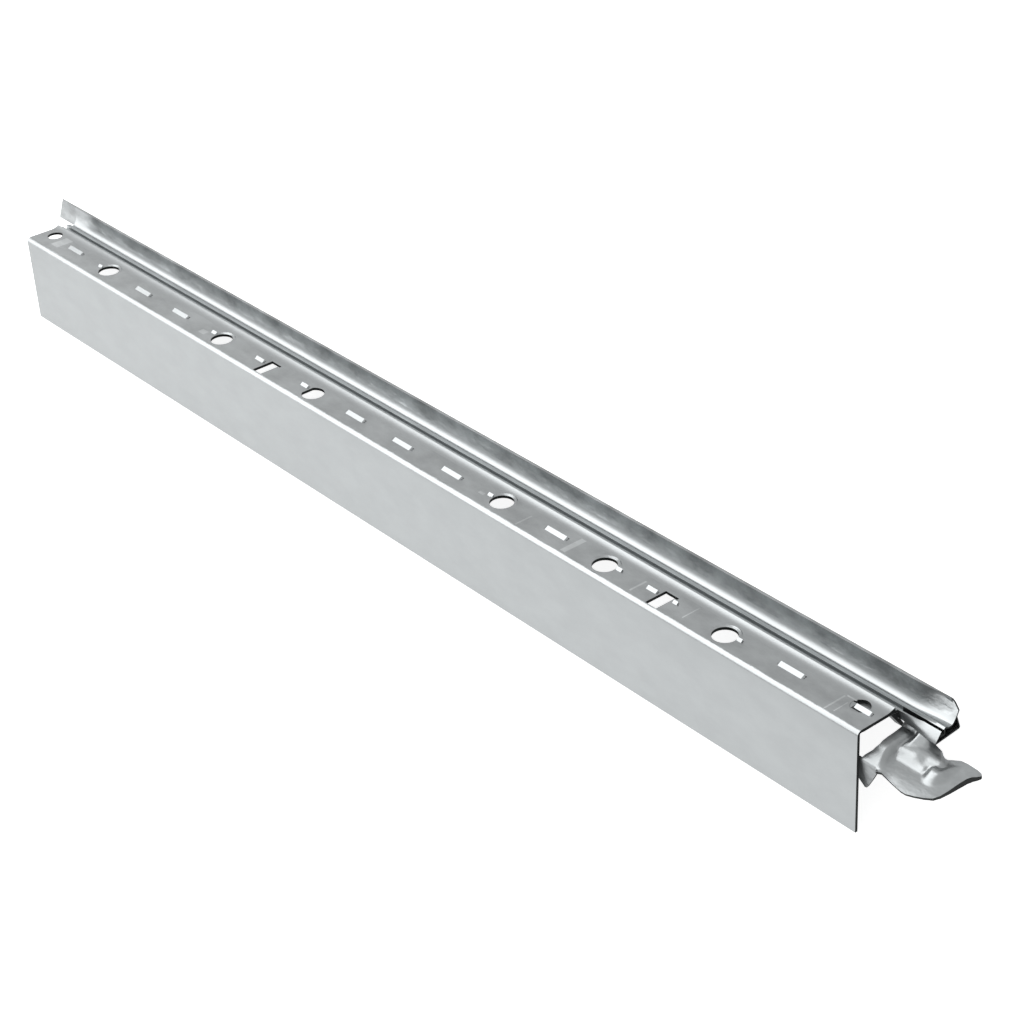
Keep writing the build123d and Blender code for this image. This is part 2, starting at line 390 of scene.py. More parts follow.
def lofted(size, stations, loops, hollow):
    """Skin over the loops, one at each station, with the lip's corners cut; a hollow one has an inside too"""
    points, faces = [], []
    for station, loop in zip(stations, loops):
        from_end = min(station + size.coping, body_length() + size.coping - station)
        side = 1 if station < body_length() / 2 else -1
        cut = max(0.0, 1 - from_end / (CUT_REACH * size.lip_cut_along))
        for y, z in loop + (inset(loop, size.skin) if hollow else []):
            above = max(0.0, z - (size.lip_top - size.lip_cut_down)) / size.lip_cut_down
            points.append(lying(station + side * cut * above * size.lip_cut_along, y, z))
    count = len(loops[0])
    ring = count * (2 if hollow else 1)
    for s in range(len(stations) - 1):
        a, b = s * ring, (s + 1) * ring
        for i in range(count):
            j = (i + 1) % count
            faces.append((a + i, a + j, b + j, b + i))
            if hollow:
                faces.append((a + count + j, a + count + i, b + count + i, b + count + j))
    last = (len(stations) - 1) * ring
    if hollow:
        for i in range(count):
            j = (i + 1) % count
            faces.append((i, count + i, count + j, j))
            faces.append((last + j, last + count + j, last + count + i, last + i))
    else:
        faces += [tuple(reversed(range(count))), tuple(last + i for i in range(count))]
    return points, faces


def bulb_stations(size):
    """Places along the length from the body's left end, denser where the right end is pressed"""
    middle = [body_length() * i / BODY_SPANS for i in range(BODY_SPANS)]
    return middle + [body_length() + size.coping * i / END_SPANS for i in range(END_SPANS + 1)]


def make_bulb(size, zinc, sheared_and_shade, rubbed):
    stations = bulb_stations(size)
    loops = [bulb_loop(size, smoothstep((s - body_length()) / size.coping)) for s in stations]
    bulb = new_mesh_object("bulb", *lofted(size, stations, loops, True), zinc, sheared_and_shade, rubbed)
    loop = loops[0]
    count = len(loop)
    groove = range(count - len(WALL_INNER) - GROOVE_SIDES, count - len(WALL_INNER))
    lip = [i for i in range(count) if min(loop[i][1], loop[(i + 1) % count][1]) > RUBBED_FROM]
    for face in bulb.data.polygons:
        span, side, inner = face.index // (2 * count), face.index % (2 * count) // 2, face.index % 2
        # Cut ends get the sheared steel, and so do the groove's sides at the pressed right end, as painted
        # shade
        if span >= BODY_SPANS + END_SPANS or (side in groove and span >= BODY_SPANS):
            face.material_index = 1
        elif side in lip and not inner:
            face.material_index = 2
    soften(bulb, 50)
    return bulb


def make_wall(size, zinc, sheared_and_shade, rubbed):
    """The bulb's back wall and the lip, which run on alone past the left coping"""
    stations = [-size.coping * (1 - i / WALL_SPANS) for i in range(WALL_SPANS + 1)]
    leans = [WALL_LEAN * smoothstep(LEAN_START - LEAN_GROWTH * s / size.coping) for s in stations]
    loops = [wall_loop(size, lean) for lean in leans]
    wall = new_mesh_object("wall", *lofted(size, stations, loops, False), zinc, sheared_and_shade, rubbed)
    for face in wall.data.polygons:
        face.material_index = 1 if len(face.vertices) > 4 else 2
    soften(wall, 50)
    return wall


# Panel and web

# Outside of the bend, from the web to the panel, in bend radii: gentler at the web than at the panel
BEND = [(1.6, 0.0), (1.05, -0.03), (0.72, -0.12), (0.5, -0.27), (0.28, -0.47), (0.13, -0.72), (0.04, -0.97),
        (0.0, -1.2)]
# Rolled edge of the panel; how far the web reaches under the bulb; height over which a side is the web's top
PANEL_EDGE, UNDER_BULB, WEB_TOP = 0.12, 0.3, -0.2
# Straight run of the bend's inside at each end, and of the web's top before the ridge
BEND_RUN, RIDGE_LEAD = 1.0, 0.8
# Back of the ridge: height at the web's end, then distance behind the ridge's top with its height, and the
# same again with the height as a share of the ridge's rise
WEB_HEEL, RIDGE_HEEL, RIDGE_SHOULDER = -0.55, (0.45, -0.35), (0.25, 0.75)
# Steps down the ridge as shares of its run, and the share of its rise that is straight
RIDGE_STEPS, RIDGE_STRAIGHT = (0.85, 0.7, 0.55, 0.4, 0.25, 0.12, 0.0), 0.3


def body_loop(size):
    """Panel and web as one bent sheet, counter-clockwise seen from the right-hand end"""
    sheet, r, foot = 2 * size.skin, size.bend_radius, -size.panel_height
    rise, start, back = size.ridge_rise, size.ridge_start, size.ridge_back
    run = back - start
    web_end = size.wall_front + UNDER_BULB
    loop = [(PANEL_EDGE, foot), (sheet - PANEL_EDGE, foot), (sheet, foot + PANEL_EDGE)]
    loop += [(sheet, -r - BEND_RUN)]
    loop += arc((r, -r), r - sheet, 180, 90, 6)
    loop += [(r + BEND_RUN, -sheet), (web_end, -sheet), (web_end, WEB_HEEL)]
    loop += [(back + RIDGE_HEEL[0], RIDGE_HEEL[1]), (back + RIDGE_SHOULDER[0], rise * RIDGE_SHOULDER[1])]
    loop += [(back, rise)]
    straight, curved = RIDGE_STRAIGHT, 1 - RIDGE_STRAIGHT
    loop += [(start + run * t, rise * (straight * t + curved * t * t)) for t in RIDGE_STEPS]
    loop += [(start - RIDGE_LEAD, 0.0)]
    loop += [(r * y, r * z) for y, z in BEND]
    return loop + [(0.0, foot + PANEL_EDGE)]


# Holes in the web: distance of each centre from the body's right end and from the panel's face
HOLE_RADIUS = 5.0
HANGER_HOLES = [(72.6, 8.0), (137.7, 7.8), (200.5, 8.9), (399.9, 8.0), (500.0, 9.2)]
STAKE_HOLES, STAKE_RADIUS = [(555.0, 11.5), (9.6, 11.6)], 3.75
CUT_HOLE, CUT_FLAT = (328.2, 7.8), 4.1
SLOTS, SLOT_ALONG, SLOT_ACROSS, SLOT_NOTCH = [(105.4, 7.0), (362.6, 7.0)], 5.9, 10.4, 1.3
HOLE_SIDES, CUT_SIDES, PUNCH_REACH = 48, 40, 3.0


def hole_outlines():
    """Closed outlines of every hole, in the web's own plane"""
    length = body_length()
    round_holes = [(x, y, HOLE_RADIUS) for x, y in HANGER_HOLES]
    round_holes += [(x, y, STAKE_RADIUS) for x, y in STAKE_HOLES]
    last = 360 - 360 / HOLE_SIDES
    outlines = [arc((length - x, y), r, 0, last, HOLE_SIDES - 1) for x, y, r in round_holes]
    flat = math.degrees(math.acos(CUT_FLAT / HOLE_RADIUS))
    outlines.append(arc((length - CUT_HOLE[0], CUT_HOLE[1]), HOLE_RADIUS, -180 + flat, 180 - flat, CUT_SIDES))
    for x, y in SLOTS:
        left, right = length - x - SLOT_ALONG / 2, length - x + SLOT_ALONG / 2
        low, high = y - SLOT_ACROSS / 2, y + SLOT_ACROSS / 2
        out, under = right + SLOT_NOTCH, high - SLOT_NOTCH
        outlines.append([(left, low), (right, low), (right, under), (out, under), (out, high), (left, high)])
    return outlines


def make_punches(sheared_and_shade):
    """Straight punches, one through each hole, as one mesh"""
    points, faces = [], []
    for outline in hole_outlines():
        faces += drawn_out(len(outline), len(points))
        points += [lying(x, y, z) for z in (-PUNCH_REACH, PUNCH_REACH) for x, y in outline]
    return new_mesh_object("punches", points, faces, sheared_and_shade)


def make_body(size, zinc, sheared_and_shade, pressed):
    """The bent sheet with its holes punched"""
    loop = body_loop(size)
    points = [lying(x, y, z) for x in (0.0, body_length()) for y, z in loop]
    body = new_mesh_object("body", points, drawn_out(len(loop)), zinc, sheared_and_shade, pressed)
    shear_ends(body)
    for face, start, end in zip(body.data.polygons, loop, loop[1:] + loop[:1]):
        if min(start[1], end[1]) > WEB_TOP and min(start[0], end[0]) < size.ridge_start:
            face.material_index = 2
    punches = make_punches(sheared_and_shade)
    cut = body.modifiers.new("punch", "BOOLEAN")
    cut.operation, cut.solver, cut.object = "DIFFERENCE", "EXACT", punches
    cut.material_mode = "TRANSFER"
    plain_mesh(body, "body")
    bpy.data.objects.remove(punches)
    soften(body, 35)
    return body


# Rim of a hole: distance of its crest from the hole, height of the crest and the side it is raised at, in
# degrees, width of its outer slope, its gaps to the hole and to the web, and how full its crest is
RIM_WIDTH, RIM_RISE, RIM_TURN, RIM_FOOT = 1.05, 0.45, 115, 0.45
RIM_GAP, RIM_LIFT, RIM_FULLNESS = 0.03, 0.02, 0.7
# Painted highlights on the web, lighter zinc for its bright embossed lines and the bright smudges beside
# holes: distance of the centre from the body's right end and from the panel's face, then size along and
# across
HIGHLIGHT_MARKS = [(17.4, 7.0, 0.8, 10.5), (14.8, 12.9, 4.4, 0.8), (14.0, 6.6, 0.5, 7.0), (118.2, 7.2, 1.0, 8.6),
         (156.4, 8.2, 3.0, 11.4), (184.0, 6.4, 0.8, 8.6), (545.2, 9.6, 6.6, 9.6), (412.4, 6.3, 4.8, 3.4),
         (211.6, 7.6, 3.4, 1.6), (91.4, 9.0, 0.6, 9.0)]
MARK_RISE, MARK_SINK = 0.06, 0.01


def make_rims(pressed):
    """Rolled-over metal round each hanger hole, raised most at the side towards the bulb"""
    points, faces = [], []
    for x, y in HANGER_HOLES:
        base = len(points)
        for i in range(HOLE_SIDES):
            angle = 2 * math.pi * i / HOLE_SIDES
            rise = RIM_RISE * max(0.0, math.cos(angle - math.radians(RIM_TURN))) ** RIM_FULLNESS
            foot = RIM_WIDTH + RIM_FOOT
            for out, up in ((RIM_GAP, RIM_LIFT), (RIM_WIDTH, RIM_LIFT + rise), (foot, -RIM_LIFT)):
                r = HOLE_RADIUS + out
                points.append(lying(body_length() - x + r * math.cos(angle), y + r * math.sin(angle), up))
        for i in range(HOLE_SIDES):
            a, b = base + 3 * i, base + 3 * ((i + 1) % HOLE_SIDES)
            faces += [(a + k, a + (k + 1) % 3, b + (k + 1) % 3, b + k) for k in range(3)]
    return new_mesh_object("rims", points, faces, pressed)


def make_highlight_marks(painted_highlight):
    """Thin patches of lighter zinc on the web, painted highlights, raised a little inside their edges"""
    points, faces = [], []
    for x, y, along, across in HIGHLIGHT_MARKS:
        edge = min(along, across) / 4
        faces += drawn_out(4, len(points))
        for grow, up in ((0.0, -MARK_SINK), (edge, MARK_RISE)):
            for i, j in ((-1, -1), (1, -1), (1, 1), (-1, 1)):
                corner = body_length() - x + i * (along / 2 - grow)
                points.append(lying(corner, y + j * (across / 2 - grow), up))
    return new_mesh_object("highlight_marks", points, faces, painted_highlight)


class TEE_OT_strip(bpy.types.Operator):
    """Roll-formed strip: face panel, punched web, hollow bulb and folded lip"""

    bl_idname = "tee.strip"
    bl_label = "Build the strip"

    def execute(self, context):
        size, finish = strip_sizes(), context.scene.tee_finish
        zinc = galvanised_steel("galvanised steel strip", finish.zinc, SATIN)
        pressed = galvanised_steel("galvanised steel web", finish.zinc, SATIN, blotch=0.12, ripple=0.38)
        rubbed = galvanised_steel("galvanised steel lip", finish.lip_zinc, RUBBED, blotch=0.3, ripple=0.36)
        # Lighter zinc painted on the web's marks as highlights
        painted_highlight = galvanised_steel("painted highlight zinc", finish.rubbed, RUBBED, blotch=0.16)
        sheared_and_shade = sheared_steel_and_shade("sheared steel edge", finish.sheared_and_shade)
        body = make_body(size, zinc, sheared_and_shade, pressed)
        bulb, wall = make_bulb(size, zinc, sheared_and_shade, rubbed), make_wall(size, zinc, sheared_and_shade, rubbed)
        rims, highlight_marks = make_rims(pressed), make_highlight_marks(painted_highlight)
        for part in (rims, highlight_marks):
            soften(part, 40)
        join(body, [bulb, wall, rims, highlight_marks])
        body.name = body.data.name = "tee_strip"
        seat(body, "galvanised_strip", "tee_profile")
        return {"FINISHED"}


# Stitches

# Distance of each stitch's centre from the body's right end and from the panel's face, and the share of
# its length that the holes leave
STITCHES = [(40.6, 9.0, 1.0), (167.3, 8.6, 1.0), (231.9, 8.0, 1.0), (265.1, 8.1, 1.0), (298.1, 8.1, 1.0),
            (435.2, 8.2, 1.0), (467.9, 8.4, 1.0), (531.6, 9.2, 1.0), (112.3, 8.6, 0.45), (336.3, 8.9, 0.4),
            (370.6, 8.7, 0.5), (207.4, 8.6, 0.25), (506.9, 8.6, 0.25), (131.0, 9.0, 0.25), (66.2, 9.0, 0.2),
            (407.4, 8.8, 0.3), (99.9, 8.9, 0.2), (7.1, 10.0, 0.62)]
# Height of a stitch's middle over the web, its fall and its taper as shares, and how fast a cut one thins
STITCH_LEVEL, STITCH_FALL, STITCH_TAPER, STITCH_THINNING = 0.3, 0.85, 0.12, 0.35
# Bar of a stitch, and round it a dark plate that shows past the bar as the painted shadow in its cut, both in
# metres
BAR = {"Length": 0.013, "Width": 0.0022, "Rise": 0.0014}
SLIT_SHADE = {"Length": 0.0138, "Width": 0.0034, "Rise": 0.00006}


def stitch_tree():
    """Puts one lanced stitch on every point: a low bar that slopes towards the panel"""
    tree = bpy.data.node_groups.new("lanced stitches", "GeometryNodeTree")
    face = tree.interface
    face.new_socket("Geometry", in_out="INPUT", socket_type="NodeSocketGeometry")
    for label, value in BAR.items():
        face.new_socket(label, in_out="INPUT", socket_type="NodeSocketFloat").default_value = value
    face.new_socket("Turn", in_out="INPUT", socket_type="NodeSocketFloat")
    face.new_socket("Material", in_out="INPUT", socket_type="NodeSocketMaterial")
    face.new_socket("Geometry", in_out="OUTPUT", socket_type="NodeSocketGeometry")
    given = add_node(tree, "NodeGroupInput").outputs
    bar = add_node(tree, "GeometryNodeMeshCube")
    size = add_node(tree, "ShaderNodeCombineXYZ", [("X", given["Length"]), ("Y", given["Width"]),
                                                   ("Z", given["Rise"])])
    tree.links.new(size.outputs[0], bar.inputs["Size"])
    place = add_node(tree, "GeometryNodeInputPosition").outputs[0]
    split = add_node(tree, "ShaderNodeSeparateXYZ", [("Vector", place)]).outputs
    top = add_node(tree, "ShaderNodeMath", [(1, split["Z"])], operation="LESS_THAN")
    front = add_node(tree, "ShaderNodeMath", [(0, split["Y"])], operation="LESS_THAN")
    top.inputs[0].default_value = front.inputs[1].default_value = 0.0
    top, front = top.outputs[0], front.outputs[0]
    both = add_node(tree, "ShaderNodeMath", [(0, top), (1, front)], operation="MULTIPLY").outputs[0]
    fall = add_node(tree, "ShaderNodeMath", [(0, both), (1, given["Rise"])], operation="MULTIPLY").outputs[0]
    down = add_node(tree, "ShaderNodeMath", [(0, fall)], operation="MULTIPLY")
    down.inputs[1].default_value = -STITCH_FALL
    side = add_node(tree, "ShaderNodeMath", [(0, top), (1, split["X"])], operation="MULTIPLY").outputs[0]
    taper = add_node(tree, "ShaderNodeMath", [(0, side)], operation="MULTIPLY")
    taper.inputs[1].default_value = -STITCH_TAPER
    shift = add_node(tree, "ShaderNodeCombineXYZ", [("X", taper.outputs[0]), ("Z", down.outputs[0])])
    shaped = add_node(tree, "GeometryNodeSetPosition", [("Geometry", bar.outputs["Mesh"]),
                                                        ("Offset", shift.outputs[0])])
    turn = add_node(tree, "ShaderNodeCombineXYZ", [("X", given["Turn"])]).outputs[0]
    dots = add_node(tree, "GeometryNodeMeshToPoints", [("Mesh", given["Geometry"])])
    spread = add_node(tree, "GeometryNodeInstanceOnPoints", [
        ("Points", dots.outputs[0]), ("Instance", shaped.outputs[0]), ("Rotation", turn)])
    named = add_node(tree, "GeometryNodeInputNamedAttribute", data_type="FLOAT", Name="part")
    part = named.outputs["Attribute"]
    thin = add_node(tree, "ShaderNodeMath", [(0, part)], operation="POWER")
    thin.inputs[1].default_value = STITCH_THINNING
    grow = add_node(tree, "ShaderNodeCombineXYZ", [("X", part), ("Y", thin.outputs[0])], Z=1.0).outputs[0]
    tree.links.new(grow, spread.inputs["Scale"])
    real = add_node(tree, "GeometryNodeRealizeInstances", [("Geometry", spread.outputs[0])])
    coated = add_node(tree, "GeometryNodeSetMaterial", [("Geometry", real.outputs[0]),
                                                        ("Material", given["Material"])])
    add_node(tree, "NodeGroupOutput", [("Geometry", coated.outputs[0])])
    return tree


def set_inputs(modifier, **values):
    for item in modifier.node_group.interface.items_tree:
        if item.item_type == "SOCKET" and item.in_out == "INPUT" and item.name in values:
            modifier[item.identifier] = values[item.name]


class TEE_OT_stitches(bpy.types.Operator):
    """Lanced stitches that lock the web's two layers together"""

    bl_idname = "tee.stitches"
    bl_label = "Press the stitches"

    def execute(self, context):
        zinc, sheared_and_shade = bpy.data.materials["galvanised steel strip"], bpy.data.materials["sheared steel edge"]
        length = body_length()
        tree, parts = stitch_tree(), []
        # The second kind is a near-black plate under each bar: painted shadow round the stitch
        kinds = (("web_stitches", STITCH_LEVEL, zinc, {}), ("stitch_shadows", 0.0, sheared_and_shade, SLIT_SHADE))
        for name, up, material, sizes in kinds:
            obj = new_mesh_object(name, [lying(length - x, y, up) for x, y, part in STITCHES], [], material)
            share = obj.data.attributes.new("part", "FLOAT", "POINT")
            for value, (x, y, part) in zip(share.data, STITCHES):
                value.value = part
            press = obj.modifiers.new("stitches", "NODES")
            press.node_group = tree
            set_inputs(press, Turn=-lean_angle(strip_sizes()), Material=material, **sizes)
            parts.append(plain_mesh(obj, name))
            soften(obj, 25)
        join(parts[0], parts[1:])
        seat(parts[0], "galvanised_strip")
        return {"FINISHED"}


# End clip

# Sheet of the clip, and the share of it away from the turned-down right edge, where it looks thicker
CLIP_SHEET, THIN_SHARE = 1.1, 0.4
# Top of the plate: its level at its back, and its fall towards the panel
PLATE_BACK, PLATE_LEVEL, PLATE_FALL = 21.4, -8.0, 0.185
# Fold down at the panel: where it starts and its radius, the reach where it ends and over what length, and
# how the metal below it leans back
FOLD_FROM, FOLD_RADIUS, FOLD_END, FOLD_LEAN = 2.6, 1.0, (7.2, 2.2), 0.12
# The plate keeps this far below the bulb
BULB_ROOM = 0.3
# Rib pressed into the plate: its height at each distance from the panel's face, at its left and at its right;
# then the nose past its right end, and the nose's reach past the body's end
RIB_LEFT = [(8.9, 0.0), (12.0, 2.25), (12.7, 2.3), (14.8, 2.5), (18.0, 2.0), (24.0, 2.6)]
RIB_RIGHT = [(8.9, 0.0), (10.1, 0.9), (12.4, 1.25), (14.8, 2.0), (18.0, 1.5), (24.0, 2.1)]
NOSE, NOSE_AT = [(6.2, 0.0), (9.6, 2.3), (10.8, 2.3), (13.0, 1.6), (18.0, 0.0)], 25.6
# Hump over the neck: its height at each distance from the panel's face
HUMP = [(1.2, 0.0), (2.0, 0.5), (5.6, 3.1), (6.8, 3.7), (8.5, 3.9), (12.0, 3.6), (16.0, 2.9), (20.0, 2.1),
        (24.0, 1.4)]
# Edge of the plate, counter-clockwise seen from above: reach past the body's end, and distance from the
# panel's face, along the metal where it hangs down from the fold
PLATE_EDGE = [(1.8, 21.6), (2.3, 19.9), (2.8, 16.2), (3.0, 13.1), (3.1, 9.5), (3.4, 7.3), (2.7, 5.0),
              (1.0, 2.9), (0.5, 1.9), (-1.4, 1.5), (-3.0, -1.0), (-2.4, -7.0), (1.2, -10.6), (2.2, -10.3),
              (5.0, -5.4), (7.6, -0.5), (9.0, 0.4), (10.4, 1.0), (12.8, 0.6), (16.6, -0.1), (20.4, -0.7),
              (22.6, -0.7), (25.6, 0.1), (29.0, 1.4), (31.6, 2.8), (32.8, 5.0), (33.4, 8.6), (33.8, 12.6),
              (34.4, 16.2), (35.2, 17.8), (36.5, 19.0), (37.2, 19.8), (37.2, 20.4), (36.6, 21.0),
              (34.6, 21.4), (30.2, 21.6), (27.4, 21.3), (24.8, 19.7), (22.8, 18.4), (22.0, 18.5),
              (21.4, 18.9), (20.8, 19.3), (19.2, 19.7), (17.0, 20.1), (15.6, 20.4), (13.6, 21.6),
              (8.0, 24.0), (1.4, 23.6)]
# Turned-down right edge: from where to where, how near it the sheet is thicker and by what share, where along
# the edge it grows and thins again, and by what share it thins
TIP_EDGE, TIP_NEAR, TIP_SHARE = ((31.6, 2.8), (36.9, 20.0)), (1.5, 1.5), 0.5
TIP_GROWS, TIP_THINS, TIP_THINNED = (1.0, 15.0), (17.0, 3.5), 0.8
# Spacing of the plate's points, and their room to its edge as a share of it
PLATE_GRID, EDGE_ROOM = 0.6, 0.6
# Forms pressed into the plate. A pair is where the form starts to grow or to fade, and over what length; the
# rib and the hump fade from their ends over one length
RIB_GROWS, RIB_CHANGES, RIB_FADES = (6.4, 2.6), (14.8, 5.0), 3.0
RIB_END, RIB_BULGE, RIB_BULGES, RIB_WAIST, RIB_NARROWS = 20.2, 4.0, (11.0, 2.5), 3.5, (14.5, 5.0)
NOSE_GROWS, NOSE_FADES, NOSE_BOW = (-5.0, 3.8), (1.6, 3.0), 0.12
HUMP_END, HUMP_FADES, HUMP_SKEW, HUMP_FRONT = 6.6, 3.2, 0.2, 6.0
# Fold up to the bulb: a point of the line it starts at, the line's skew, and the fold's slope
CREASE_AT, CREASE_SKEW, CREASE_SLOPE = (11.5, 14.4), 0.5, 0.5
CREASE_GROWS, CREASE_FADES = (9.3, 1.5), (14.5, 2.5)
BACK_FROM, BACK_SLOPE, BACK_FADES = 20.0, 0.95, (11.5, 2.5)
FRONT_FROM, FRONT_CURVE, FRONT_GROWS = 5.5, 0.02, (10.0, 5.0)
# Sections of the clip's root, which comes down from the web to the plate, and of its leaf under the web,
# depth and height, counter-clockwise seen from the right-hand end; then their ends, from the body's end
ROOT = [(21.8, -8.5), (22.6, -7.4), (20.6, -4.5), (19.5, -4.0), (19.5, -1.25), (16.2, -1.25)]
LEAF = [(3.6, -2.0), (18.7, -2.0), (18.7, -3.9), (19.5, -3.9), (19.5, -1.25), (3.6, -1.25)]
ROOT_ENDS, LEAF_ENDS = (-3.0, 0.4), (-22.0, -0.6)
# The stake stands in its hole with this room round it, between these heights, as a bow of this many sides
# between these angles
STAKE_ROOM, STAKE_HEIGHTS, STAKE_SIDES, STAKE_BOW = 0.1, (-1.2, -0.03), 24, (176, 364)


def plate_place(u, v, lift):
    """A point on the plate: reach, distance from the panel's face along the metal, height off its top"""
    folded = (1 - grown(u, *FOLD_END)) * max(0.0, FOLD_FROM - v)
    turn = min(folded / FOLD_RADIUS, math.pi / 2)
    below = max(0.0, folded - FOLD_RADIUS * math.pi / 2)
    level = PLATE_LEVEL - PLATE_FALL * (PLATE_BACK - v - folded)
    y = v + folded - FOLD_RADIUS * math.sin(turn) - lift * math.sin(turn) + FOLD_LEAN * below
    z = level - FOLD_RADIUS * (1 - math.cos(turn)) - below + lift * math.cos(turn)
    return lying(body_length() + u, y, min(z, -strip_sizes().bulb_drop - BULB_ROOM))


def near_segment(p, start, end):
    """Distance of a point from a segment"""
    p, start, end = Vector(p), Vector(start), Vector(end)
    along = end - start
    t = min(max((p - start).dot(along) / along.length_squared, 0), 1)
    return (p - start - along * t).length


# Corners of a profile are rounded over this much to each side
ROUNDING = 0.5


def height_at(profile, place):
    """Height of a smooth profile, given as pairs of place and height, at one place"""
    total = 0.0
    for near in (place - ROUNDING, place, place + ROUNDING):
        for (a, low), (b, high) in zip(profile, profile[1:]):
            if a <= near < b:
                total += low + (high - low) * (near - a) / (b - a)
    return total / 3


def plate_lift(u, v):
    """Pressed relief: the rib and its nose, the hump over the neck, the fold up to the bulb"""
    hump_end = HUMP_END + HUMP_SKEW * max(0.0, HUMP_FRONT - v)
    hump = height_at(HUMP, v) * (1 - grown(u, hump_end, HUMP_FADES))
    left, right = height_at(RIB_LEFT, v), height_at(RIB_RIGHT, v)
    rib = left + (right - left) * grown(u, *RIB_CHANGES)
    rib_end = RIB_END + RIB_BULGE * grown(v, *RIB_BULGES) - RIB_WAIST * grown(v, *RIB_NARROWS)
    rib *= grown(u, *RIB_GROWS) * (1 - grown(u, rib_end, RIB_FADES))
    nose = height_at(NOSE, v - NOSE_BOW * (u - NOSE_AT) ** 2)
    nose *= grown(u - NOSE_AT, *NOSE_GROWS) * (1 - grown(u - NOSE_AT, *NOSE_FADES))
    fold = CREASE_SLOPE * max(v - CREASE_AT[1] - CREASE_SKEW * (u - CREASE_AT[0]), 0.0)
    fold *= grown(u, *CREASE_GROWS) * (1 - grown(u, *CREASE_FADES))
    back = BACK_SLOPE * max(v - BACK_FROM, 0.0) * (1 - grown(u, *BACK_FADES))
    front = FRONT_CURVE * max(0.0, FRONT_FROM - v) ** 2 * grown(u, *FRONT_GROWS)
    return max(rib + fold, hump, nose) + back - front


def plate_weight(p):
    """Share of the sheet at a point of the plate: thicker beside the turned-down right edge"""
    turned_down = 1 - grown(near_segment(p, *TIP_EDGE), *TIP_NEAR)
    deep = grown(p.y, *TIP_GROWS) * (1 - TIP_THINNED * grown(p.y, *TIP_THINS))
    return THIN_SHARE + TIP_SHARE * turned_down * deep


def fill_outline(edge, spacing):
    """Points and triangles that fill an outline, with a grid of points inside it"""
    loop = [Vector(p) for p in edge]
    dense = []
    for p, q in zip(loop, loop[1:] + loop[:1]):
        cuts = max(1, round((q - p).length / spacing))
        dense += [p.lerp(q, i / cuts) for i in range(cuts)]
    low = [min(p[k] for p in dense) for k in (0, 1)]
    high = [max(p[k] for p in dense) for k in (0, 1)]
    inner = []
    for i in range(int((high[0] - low[0]) / spacing) + 1):
        for j in range(int((high[1] - low[1]) / spacing) + 1):
            p = Vector((low[0] + (i + 0.5 * (j % 2)) * spacing, low[1] + j * spacing))
            if min((p - q).length for q in dense) > EDGE_ROOM * spacing:
                inner.append(p)
    border = [(i, (i + 1) % len(dense)) for i in range(len(dense))]
    points, _, triangles, *_ = delaunay_2d_cdt(dense + inner, border, [list(range(len(dense)))], 1, 1e-5)
    used = sorted({i for triangle in triangles for i in triangle})
    place = {i: k for k, i in enumerate(used)}
    return [points[i] for i in used], [[place[i] for i in triangle] for triangle in triangles]


def make_plate(zinc, sheared_and_shade):
    points, triangles = fill_outline(PLATE_EDGE, PLATE_GRID)
    places = [plate_place(p.x, p.y, plate_lift(p.x, p.y)) for p in points]
    plate = new_mesh_object("plate", places, triangles, zinc, sheared_and_shade)
    thick = plate.vertex_groups.new(name="thick")
    for i, p in enumerate(points):
        thick.add([i], plate_weight(p), "REPLACE")
    wall = plate.modifiers.new("sheet", "SOLIDIFY")
    wall.thickness, wall.offset, wall.vertex_group = CLIP_SHEET / THIN_SHARE * MM, -1, "thick"
    wall.material_offset_rim = 1
    plain_mesh(plate, "end_clip_pressed")
    soften(plate, 60)
    return plate


def make_bar(name, section, ends, zinc, sheared_and_shade):
    """A section drawn out between two places along the length, counted from the body's end"""
    points = [lying(body_length() + x, y, z) for x in ends for y, z in section]
    bar = new_mesh_object(name, points, drawn_out(len(section)), zinc, sheared_and_shade)
    shear_ends(bar)
    return bar


def make_stake(zinc):
    x, y = STAKE_HOLES[-1]
    bow = arc((body_length() - x, y), STAKE_RADIUS - STAKE_ROOM, *STAKE_BOW, STAKE_SIDES)
    points = [lying(a, b, up) for up in STAKE_HEIGHTS for a, b in bow]
    return new_mesh_object("stake", points, drawn_out(len(bow)), zinc)


class TEE_OT_clip(bpy.types.Operator):
    """Pressed end clip with its rib and its sloping tongue"""

    bl_idname = "tee.clip"
    bl_label = "Press the end clip"

    def execute(self, context):
        finish = context.scene.tee_finish
        zinc = galvanised_steel("galvanised steel clip", finish.clip_zinc, PRESSED, blotch=0.08, ripple=0.3)
        sheared_and_shade = bpy.data.materials["sheared steel edge"]
        clip = make_plate(zinc, sheared_and_shade)
        root = make_bar("root", ROOT, ROOT_ENDS, zinc, sheared_and_shade)
        leaf = make_bar("leaf", LEAF, LEAF_ENDS, zinc, sheared_and_shade)
        join(clip, [root, leaf, make_stake(zinc)])
        seat(clip, "clip_steel", "end_clip")
        return {"FINISHED"}


# Studio

# The camera stands off the tee's right-hand end; place in millimetres and angles in degrees, in the
# profile's own directions
LENS, SENSOR = 83.8, 36
CAMERA_PLACE = (1004.6, -479.7, 487.4)
CAMERA_TURN, CAMERA_DIP, CAMERA_ROLL = 142.465, -31.39, -3.66
# Softboxes: direction, distance in metres, size in metres and power in watts
SOFTBOXES = [("key softbox", (-0.677, 0.14, 0.73), 3.2, (5.4, 2.6), 118),
             ("panel softbox", (-0.52, -0.85, 0.13), 3.6, (4.2, 1.6), 20)]
FLOOR_HALF = 6.0
# Glow of the floor as the zinc mirrors it and as the camera sees it, and light of the world on the tee
FLOOR_MIRRORED, FLOOR_SEEN, WORLD_LIGHT = 0.32, 0.88, 0.2


